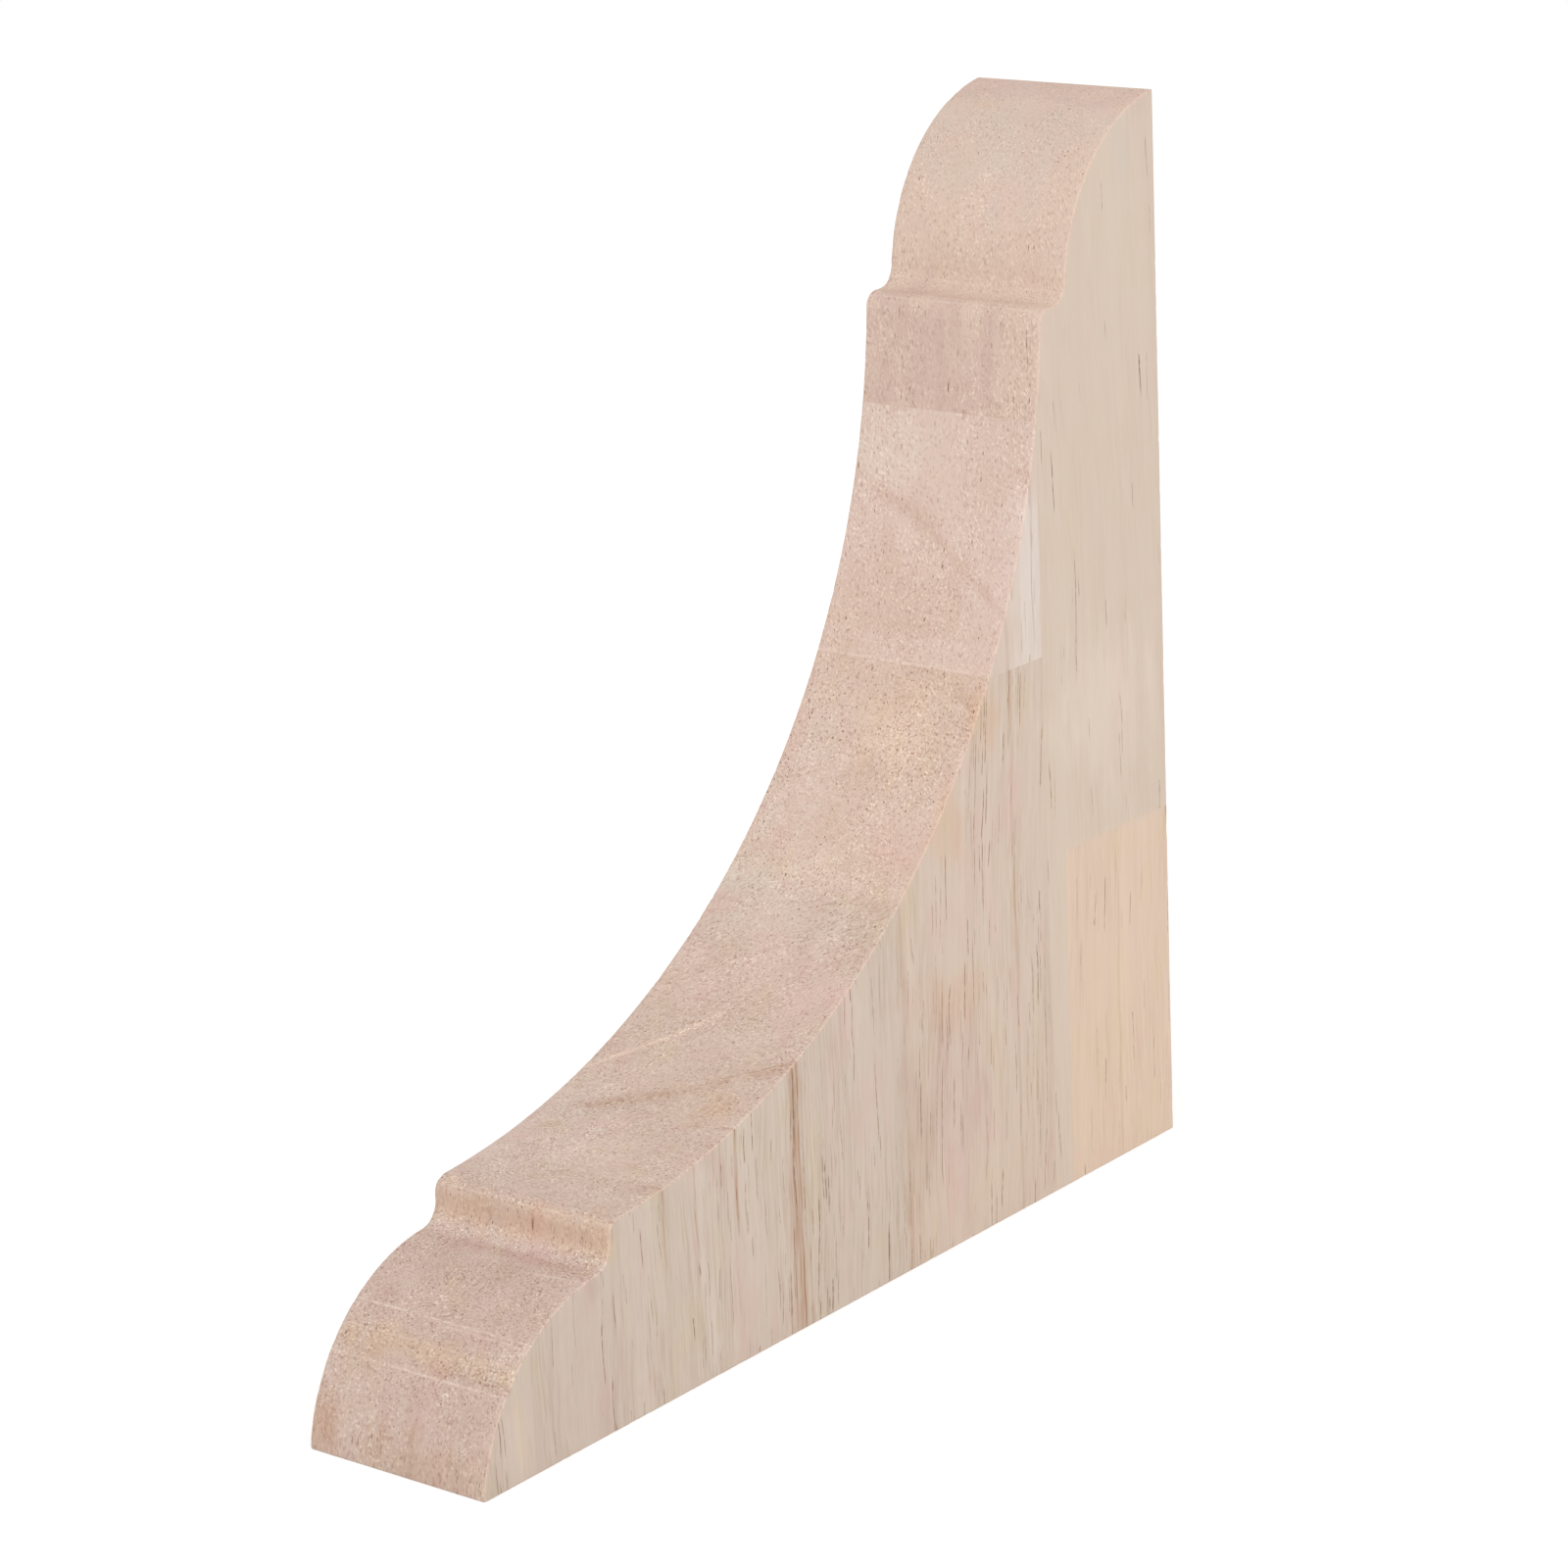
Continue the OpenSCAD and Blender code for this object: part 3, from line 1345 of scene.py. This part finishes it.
        shape = self.store(bench, shape, TRAVEL_NAME, "POINT", travel)
        shape = self.store(bench, shape, ARRIS_NAME, "POINT", arris_mask)
        shape = self.store(bench, shape, ZONE_NAME, "FACE", self.zones(bench, rows, row_count))
        shape = bench.put("GeometryNodeSetPosition", {"Geometry": shape, "Position": place})
        shape = bench.put("GeometryNodeMergeByDistance", {"Geometry": shape, "Distance": self.weld})
        shape = bench.put("GeometryNodeFlipFaces", {"Mesh": shape})
        shape = self.weather(bench, shape)
        shape = self.smooth(bench, shape)
        shape = bench.put("GeometryNodeRealizeInstances", {"Geometry": shape})
        for zone in Zone:
            keys = {"Geometry": shape, "Material": bench.given[zone.socket]}
            if zone is not Zone.SANDED:
                keys["Selection"] = self.chosen(bench, zone)
            shape = bench.put("GeometryNodeSetMaterial", keys)
        return bench.give(Board=shape)

    def section(
        self,
        bench: NodeBench,
        rows: Sequence[Stretch],
        row: Field,
        second: Field,
        point: PathPoint,
        behind: PathPoint,
    ) -> tuple[Field, Field]:
        """Wraps the rows round the board between a point of the moulding and the one behind it.

        Args:
            bench: the loft being built.
            rows: the eight runs of rows.
            row: the row.
            second: 1 in the lower half of the moulding, which mirrors the upper one.
            point: the moulding's point.
            behind: the flat faces' point.

        Returns:
            The vertex's place, and a mask that is 1 on the arrises.
        """
        ease, thick = bench.given["Arris"], bench.given["Thickness"]
        edge, far_front, far_side, far_back, flat, near_back, near_side, near_front = (
            run.progress(bench, row) for run in rows
        )
        arcs = (far_front, far_back, near_back, near_front)
        sine = {arc: bench.math("SINE", arc * QUARTER) for arc in arcs}
        cosine = {arc: bench.math("COSINE", arc * QUARTER) for arc in arcs}
        width = thick - ease * 2.0
        turns = sine[far_front] + cosine[far_back] - sine[near_back] - cosine[near_front]
        deep = width * (edge - flat - 0.5) + ease * turns
        front_inset = ease * (1.0 - cosine[far_front] - sine[near_front])
        back_inset = ease * (2.0 - sine[far_back] - cosine[near_back])
        ends = []
        for end, inset in ((point, front_inset), (behind, back_inset)):
            out = end.out - inset * bench.math("COSINE", end.facing)
            up = end.up - inset * bench.math("SINE", end.facing)
            ends.append((out, up))
        share = far_side - near_side
        out = bench.between(share, ends[0][0], ends[1][0])
        up = bench.between(share, ends[0][1], ends[1][1])
        place = bench.vector(
            self.high.x - bench.between(second, out, up),
            deep + (self.low.y + self.high.y) / 2,
            bench.between(second, up, out) + self.low.z,
        )
        mask: Number = 0.0
        for arc in arcs:
            mask = bench.math("SINE", arc * HALF_TURN) + mask
        return place, mask

    @staticmethod
    def store(bench: NodeBench, shape: Field, name: str, domain: str, value: Field) -> Field:
        """Stores a number on the shape under a name and returns the shape."""
        keys = {"Geometry": shape, "Name": name, "Value": value}
        return bench.put("GeometryNodeStoreNamedAttribute", keys, data_type="FLOAT", domain=domain)

    @staticmethod
    def stored(bench: NodeBench, name: str) -> Field:
        """A number that was stored on the shape."""
        return bench.put("GeometryNodeInputNamedAttribute", {"Name": name}, data_type="FLOAT")

    def zones(self, bench: NodeBench, rows: Sequence[Stretch], row_count: int) -> Field:
        """Which finish each face of the grid has, as the number of its zone."""
        index = bench.put("GeometryNodeInputIndex")
        column = bench.math("FLOOR", (index + 0.5) / float(row_count))
        row = index - column * float(row_count)
        routed = bench.math("LESS_THAN", row, rows[1].last - 0.5)
        routed = bench.math("MAXIMUM", routed, bench.math("GREATER_THAN", row, rows[7].first - 0.5))
        flat = rows[4]
        middle = flat.first + (flat.count - 1) / 2
        on_flat = bench.math("COMPARE", row, middle, flat.count / 2)
        below = bench.math("GREATER_THAN", column, self.half_columns - 0.5)
        return routed * float(Zone.ROUTED.value) + on_flat * below * float(Zone.CROSS_CUT.value)

    def chosen(self, bench: NodeBench, zone: Zone) -> Field:
        """1 on the faces of one zone and 0 on the others."""
        return bench.same(self.stored(bench, ZONE_NAME), float(zone.value))

    def weather(self, bench: NodeBench, shape: Field) -> Field:
        """Makes the routed face slightly uneven and nicks the arrises, always inwards."""
        place = bench.put("GeometryNodeInputPosition")
        normal = bench.put("GeometryNodeInputNormal")
        seed = bench.given["Seed"]
        waves = bench.noise(self.HOLLOWS, place, seed)
        uneven = waves * bench.given["Unevenness"] * self.chosen(bench, Zone.ROUTED)
        bites = bench.ramp(bench.noise(self.BITES, place, seed), *self.nick_levels)
        on_arris = bench.math("MINIMUM", self.stored(bench, ARRIS_NAME), 1.0)
        nicked = bites * bench.given["Nicks"] * on_arris
        keys = {0: normal, "Scale": (uneven + nicked) * -1.0}
        offset = bench.put("ShaderNodeVectorMath", keys, operation="SCALE")
        return bench.put("GeometryNodeSetPosition", {"Geometry": shape, "Offset": offset})

    def smooth(self, bench: NodeBench, shape: Field) -> Field:
        """Shades the routed face and the arrises smooth, and keeps the flats and kinks crisp."""
        off_arris = bench.math("LESS_THAN", self.stored(bench, ARRIS_NAME), self.off_arris)
        flat = off_arris * (1.0 - self.chosen(bench, Zone.ROUTED))
        keys = {"Geometry": shape, "Shade Smooth": 1.0 - flat}
        shape = bench.put("GeometryNodeSetShadeSmooth", keys, domain="FACE")
        angle = bench.put("GeometryNodeInputMeshEdgeAngle")
        kink = bench.math("GREATER_THAN", angle, self.crease)
        keys = {"Geometry": shape, "Selection": kink, "Shade Smooth": False}
        return bench.put("GeometryNodeSetShadeSmooth", keys, domain="EDGE")

    def build(self, finishes: Mapping[Zone, bpy.types.Material]) -> bpy.types.Object:
        """Lofts the board and turns the result into a plain mesh.

        Args:
            finishes: a material for each zone.

        Returns:
            The finished piece, with its place in its mesh.
        """
        tree = self.loft_tree()
        holder = bpy.data.objects.new("corbel_loft", bpy.data.meshes.new("corbel_loft"))
        bpy.context.scene.collection.objects.link(holder)
        modifier = holder.modifiers.new("Loft", "NODES")
        modifier.node_group = tree
        items = tree.interface.items_tree
        sockets = {item.name: item.identifier for item in items if item.in_out == "INPUT"}
        for name, value in self.inputs().items():
            modifier[sockets[name]] = value
        for zone in Zone:
            modifier[sockets[zone.socket]] = finishes[zone]
        graph = bpy.context.evaluated_depsgraph_get()
        mesh = bpy.data.meshes.new_from_object(holder.evaluated_get(graph), depsgraph=graph)
        mesh.materials.pop(index=0)
        bpy.data.objects.remove(holder)
        piece = bpy.data.objects.new("corbel_board", mesh)
        bpy.context.scene.collection.objects.link(piece)
        return piece


# ---------------------------------------------------------------- floor, light and camera


@dataclass(frozen=True)
class Lamp:
    """A soft rectangular lamp that looks at the bracket."""

    title: str
    at: tuple[float, float, float]
    size: float
    watts: float


@dataclass(frozen=True)
class Studio:
    """A pale floor, soft light and the camera."""

    eye: tuple[float, float, float] = (-0.61184, -0.49869, 0.32534)
    aim: tuple[float, float, float] = (0.00905, 0.0, 0.08843)
    roll: float = math.radians(-2.515)
    lens_mm: float = 110.5
    sensor_mm: float = 36.0
    clip: tuple[float, float] = (0.01, 100.0)
    """Nearest and furthest that the camera sees."""
    floor_size: float = 2.4
    floor_colour: Colour = (0.84, 0.84, 0.84)
    floor_roughness: float = 0.9
    floor_glow: float = 0.37
    """How much whiter the floor looks to the camera, on top of the light that falls on it."""
    sky: float = 0.72
    """Strength of the light from all round."""
    lamps: tuple[Lamp, ...] = (
        Lamp("key", (-0.7, -1.9, 1.05), 1.5, 15.0),
        Lamp("fill", (-1.7, -0.3, 1.6), 1.5, 10.0),
    )

    def build(self) -> None:
        """Makes the floor, the world, the lamps and the camera."""
        self.lay_floor()
        self.light_world()
        for lamp in self.lamps:
            self.hang(lamp)
        self.set_camera()
        bpy.context.scene.view_settings.view_transform = "Standard"

    def lay_floor(self) -> None:
        """Lays a large pale floor at the level of the underside."""
        mesh = bpy.data.meshes.new("floor")
        reach = self.floor_size / 2
        corners = [(x * reach, y * reach, 0.0) for x, y in ((-1, -1), (1, -1), (1, 1), (-1, 1))]
        mesh.from_pydata(corners, [], [(0, 1, 2, 3)])
        floor = bpy.data.objects.new("floor", mesh)
        bpy.context.scene.collection.objects.link(floor)
        paint = bpy.data.materials.new("floor_paint")
        paint.use_nodes = True
        paint.node_tree.nodes.clear()
        bench = NodeBench(paint.node_tree)
        shader = bench.node(
            "ShaderNodeBsdfPrincipled",
            {
                "Base Color": (*self.floor_colour, 1.0),
                "Roughness": self.floor_roughness,
                "Specular IOR Level": 0.0,
                "Emission Color": (1.0, 1.0, 1.0, 1.0),
                "Emission Strength": self.seen(bench) * self.floor_glow,
            },
        )
        bench.node("ShaderNodeOutputMaterial", {"Surface": bench.out(shader)})
        mesh.materials.append(paint)
        floor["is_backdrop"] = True

    @staticmethod
    def seen(bench: NodeBench) -> Field:
        """1 for rays from the camera, also by way of polish or glass, and 0 for light."""
        rays = bench.node("ShaderNodeLightPath")
        seen = bench.math("MAXIMUM", bench.out(rays, "Is Camera Ray"), bench.out(rays, "Is Glossy Ray"))
        return bench.math("MAXIMUM", seen, bench.out(rays, "Is Transmission Ray"))

    def light_world(self) -> None:
        """Lights the scene evenly from all round, and shows the camera plain white."""
        world = bpy.data.worlds.new("studio")
        world.use_nodes = True
        world.node_tree.nodes.clear()
        bench = NodeBench(world.node_tree)
        strength = bench.between(self.seen(bench), self.sky, 1.0)
        keys = {"Color": (1.0, 1.0, 1.0, 1.0), "Strength": strength}
        glow = bench.put("ShaderNodeBackground", keys)
        bench.node("ShaderNodeOutputWorld", {"Surface": glow})
        bpy.context.scene.world = world

    def hang(self, lamp: Lamp) -> None:
        """Hangs one lamp, turned to the bracket."""
        data = bpy.data.lights.new(lamp.title, "AREA")
        data.shape, data.size, data.energy = "SQUARE", lamp.size, lamp.watts
        made = bpy.data.objects.new(lamp.title, data)
        made.location = lamp.at
        made.rotation_mode = "QUATERNION"
        made.rotation_quaternion = (Vector(self.aim) - Vector(lamp.at)).to_track_quat("-Z", "Y")
        bpy.context.scene.collection.objects.link(made)

    def set_camera(self) -> None:
        """Sets up the camera."""
        data = bpy.data.cameras.new("camera")
        data.sensor_width, data.lens = self.sensor_mm, self.lens_mm
        data.clip_start, data.clip_end = self.clip
        camera = bpy.data.objects.new("camera", data)
        turn = (Vector(self.aim) - Vector(self.eye)).to_track_quat("-Z", "Y").to_matrix()
        turn = turn @ Matrix.Rotation(self.roll, 3, "Z")
        camera.matrix_world = Matrix.Translation(self.eye) @ turn.to_4x4()
        bpy.context.scene.collection.objects.link(camera)
        bpy.context.scene.camera = camera


# ---------------------------------------------------------------- this bracket

BEIGE = Block((0.675, 0.550, 0.449), seed=3.0, slant=-0.30, lean=0.020, pores=0.20, figure=0.35)
AMBER = Block((0.720, 0.554, 0.430), seed=8.0, slant=-0.20, lean=-0.015, pores=0.30, figure=0.6)
CREAM = Block((0.684, 0.557, 0.471), seed=13.0, slant=-0.19, lean=0.010, pores=0.22, figure=0.36)
ROSE = Block((0.651, 0.520, 0.425), seed=21.0, slant=-0.10, lean=-0.045, pores=0.95, figure=0.9)
SAGE = Block((0.612, 0.504, 0.415), seed=34.0, slant=0.52, lean=-0.030, pores=0.75, figure=0.92)
KHAKI = Block((0.610, 0.503, 0.418), seed=89.0, slant=0.30, lean=0.004, pores=0.75, figure=0.95)
MAUVE = Block((0.588, 0.479, 0.401), seed=55.0, slant=0.03, lean=0.004, pores=0.5, figure=0.9)

BLANK = GluedBlank(
    staves=(
        Stave(edge_mm=-5.0, lower=AMBER, upper=BEIGE, joint_mm=64.0, blur_mm=1.2),
        Stave(edge_mm=33.0, lower=BEIGE),
        Stave(edge_mm=38.6, lower=ROSE, upper=CREAM, joint_mm=101.5, fingers_show=True),
        Stave(edge_mm=83.0, lower=SAGE, soft_mm=1.6),
        Stave(edge_mm=137.5, lower=KHAKI),
        Stave(edge_mm=161.0, lower=MAUVE),
    )
)

VESSELS = (
    Vessel(spacing_mm=0.48, length_mm=11.0, girth=0.23, darkness=0.62),
    Vessel(spacing_mm=0.66, length_mm=17.0, girth=0.21, darkness=0.95),
    Vessel(spacing_mm=1.30, length_mm=40.0, girth=0.135, darkness=1.1),
)

STREAKS = (
    Streak(114.6, width_mm=3.4, slant=0.58, bow=1.2, strength=0.85, far_mm=35.0),
    Streak(113.6, width_mm=0.7, slant=0.58, bow=1.2, strength=1.5, far_mm=14.0),
    Streak(115.8, width_mm=0.6, slant=0.30, bow=0.0, strength=1.4, high_mm=22.0, far_mm=5.0),
    Streak(111.6, width_mm=0.6, slant=0.30, bow=0.0, strength=1.1, high_mm=17.0, far_mm=5.0),
    Streak(117.4, width_mm=0.5, slant=0.30, bow=0.0, strength=0.9, high_mm=15.0, far_mm=5.0),
    Streak(130.5, width_mm=0.8, slant=0.50, bow=0.0, strength=1.5, low_mm=22.0, far_mm=6.0),
    Streak(141.5, width_mm=0.7, slant=0.20, bow=0.0, strength=0.9, low_mm=14.0, far_mm=6.0),
    Streak(149.8, width_mm=0.6, slant=0.20, bow=0.0, strength=1.0, low_mm=20.0, far_mm=6.0),
    Streak(83.0, width_mm=2.4, slant=0.25, bow=1.0, strength=0.55, far_mm=9.0),
    Streak(49.0, width_mm=0.9, slant=-0.19, bow=-1.0, strength=0.7),
    Streak(
        40.7, width_mm=0.35, slant=0.0, bow=0.0, strength=0.9, low_mm=101.5, high_mm=150.0, far_mm=5.0
    ),
    Streak(17.0, width_mm=0.8, slant=0.10, bow=0.0, strength=0.4, high_mm=62.0),
    Streak(86.6, width_mm=1.5, slant=1.0, bow=0.0, strength=-2.2, low_mm=34.0, near_mm=18.0),
)

STAINS = (
    Stain((20.0, 19.0, 88.0), (24.0, 40.0, 26.0), (1.07, 1.09, 1.10)),
    Stain((57.0, -1.0, 95.0), (7.0, 4.0, 11.0), (1.00, 0.94, 0.87)),
    Stain((70.0, -1.0, 78.0), (9.0, 4.0, 11.0), (0.99, 0.925, 0.86)),
    Stain((67.0, 4.0, 46.0), (13.0, 14.0, 8.0), (1.01, 0.965, 0.90)),
    Stain((70.0, 6.0, 28.0), (17.0, 18.0, 28.0), (0.95, 0.91, 0.93)),
    Stain((80.0, 0.0, 25.0), (5.0, 9.0, 40.0), (0.95, 0.94, 0.93)),
    Stain((139.0, 0.0, 20.0), (4.0, 12.0, 30.0), (1.06, 1.08, 1.09)),
    Stain((3.0, 19.0, 197.0), (9.0, 50.0, 7.0), (0.97, 0.94, 0.95)),
    Stain((14.0, 20.0, 188.0), (22.0, 24.0, 20.0), (0.95, 0.99, 1.01)),
    Stain((34.0, 26.0, 150.0), (11.0, 25.0, 23.0), (0.90, 0.86, 0.89), inside=BEIGE),
    Stain((42.0, -1.0, 113.0), (8.2, 7.0, 27.0), (1.09, 1.15, 1.225), inside=CREAM),
    Stain((40.5, 28.0, 137.0), (5.5, 17.0, 12.0), (1.03, 1.09, 1.07), inside=CREAM),
    Stain((50.0, 23.0, 112.0), (11.0, 22.0, 17.0), (0.95, 0.92, 0.90)),
    Stain((62.0, 15.0, 92.0), (11.0, 12.0, 15.0), (1.05, 1.05, 1.01)),
    Stain((68.0, 34.0, 82.0), (16.0, 15.0, 16.0), (1.02, 1.07, 1.09)),
    Stain((86.0, 27.0, 66.0), (18.0, 27.0, 18.0), (1.05, 1.08, 1.09)),
    Stain((84.0, 34.0, 70.0), (12.0, 14.0, 10.0), (0.99, 1.04, 1.04)),
    Stain((100.0, 19.0, 55.7), (11.0, 40.0, 11.0), (1.045, 1.015, 1.03)),
    Stain((127.0, 7.0, 45.0), (6.0, 7.0, 20.0), (1.00, 0.94, 0.86)),
    Stain((146.0, 12.0, 38.3), (9.0, 22.0, 6.0), (1.03, 1.03, 1.02)),
    Stain((148.0, 34.0, 37.0), (18.0, 14.0, 10.0), (1.05, 1.06, 1.09)),
    Stain((134.0, 32.0, 41.0), (8.0, 11.0, 8.0), (1.03, 1.07, 1.10)),
    Stain((162.8, 19.0, 32.6), (4.0, 60.0, 5.0), (1.05, 1.00, 0.91)),
    Stain((167.5, 8.0, 26.5), (3.5, 28.0, 5.0), (0.94, 0.89, 0.89)),
    Stain((165.5, 22.0, 29.8), (2.4, 30.0, 2.4), (1.06, 1.10, 1.13)),
    Stain((180.0, 21.0, 18.0), (24.0, 24.0, 34.0), (0.96, 0.93, 0.93)),
    Stain((188.0, 19.0, 10.0), (3.0, 30.0, 24.0), (1.04, 1.02, 0.92)),
    Stain((189.8, 8.0, 16.6), (1.5, 24.0, 1.5), (0.92, 0.89, 0.87)),
    Stain((190.0, 36.0, 4.0), (12.0, 18.0, 9.0), (0.94, 0.86, 0.78)),
    Stain((191.0, 2.0, 7.0), (8.0, 8.0, 8.0), (1.06, 1.05, 1.06)),
    Stain((196.0, 10.0, 2.0), (5.0, 24.0, 7.0), (0.94, 0.91, 0.85)),
)

# Ridges round the moulding; their pale lines are painted highlight where they sit on its step edges.
RIDGES = (
    Ridge(46.8, strength=0.5),
    Ridge(53.6, strength=0.7),
    Ridge(118.4, strength=0.9),
    Ridge(250.6, strength=0.7),
    Ridge(262.4, strength=1.7, far_mm=13.0, slant=0.12),
    Ridge(277.6, strength=1.4),
    Ridge(278.4, strength=0.9, far_mm=20.0),
    Ridge(282.1, strength=0.6),
    Ridge(287.2, strength=1.0),
)

FINISHES = (
    WoodFinish(
        Zone.SANDED,
        "sanded_side",
        tint=(1.0, 1.0, 1.0),
        contrast=1.0,
        pore_show=1.0,
        roughness=0.60,
        arris=0.30,
    ),
    RoutedFinish(
        Zone.ROUTED,
        "routed_moulding",
        tint=(1.025, 0.950, 0.958),
        contrast=0.75,
        pore_show=1.0,
        roughness=0.74,
        arris=0.35,
        streak_show=0.62,
        ridges=RIDGES,
    ),
    CrossCutFinish(
        Zone.CROSS_CUT,
        "cross_cut_underside",
        tint=(0.86, 0.80, 0.74),
        contrast=1.2,
        pore_show=0.6,
        roughness=0.78,
        arris=0.3,
    ),
)


def main() -> None:
    Studio().build()
    low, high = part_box("corbel")
    growth = Growth(STREAKS, STAINS, depth_mm=(high.y - low.y) / MM)
    workshop = WoodWorkshop(BLANK, growth, VESSELS, wall_x=high.x, near_y=low.y, floor_z=low.z)
    groups = workshop.groups()
    finishes = {finish.zone: finish.material(groups) for finish in FINISHES}
    board = CorbelBoard(low, high)
    piece = board.build(finishes)
    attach(piece, "root")
    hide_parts("corbel")
    log.info("%s: %d faces, stands for the corbel", piece.name, len(piece.data.polygons))
    boxes = {"cad": CAD_BOX, "visual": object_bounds()}
    {name: [list(corner) for corner in box] for name, box in boxes.items()}


if __name__ == "__main__":
    logging.basicConfig(level=logging.INFO, format="%(name)s: %(message)s")
    main()
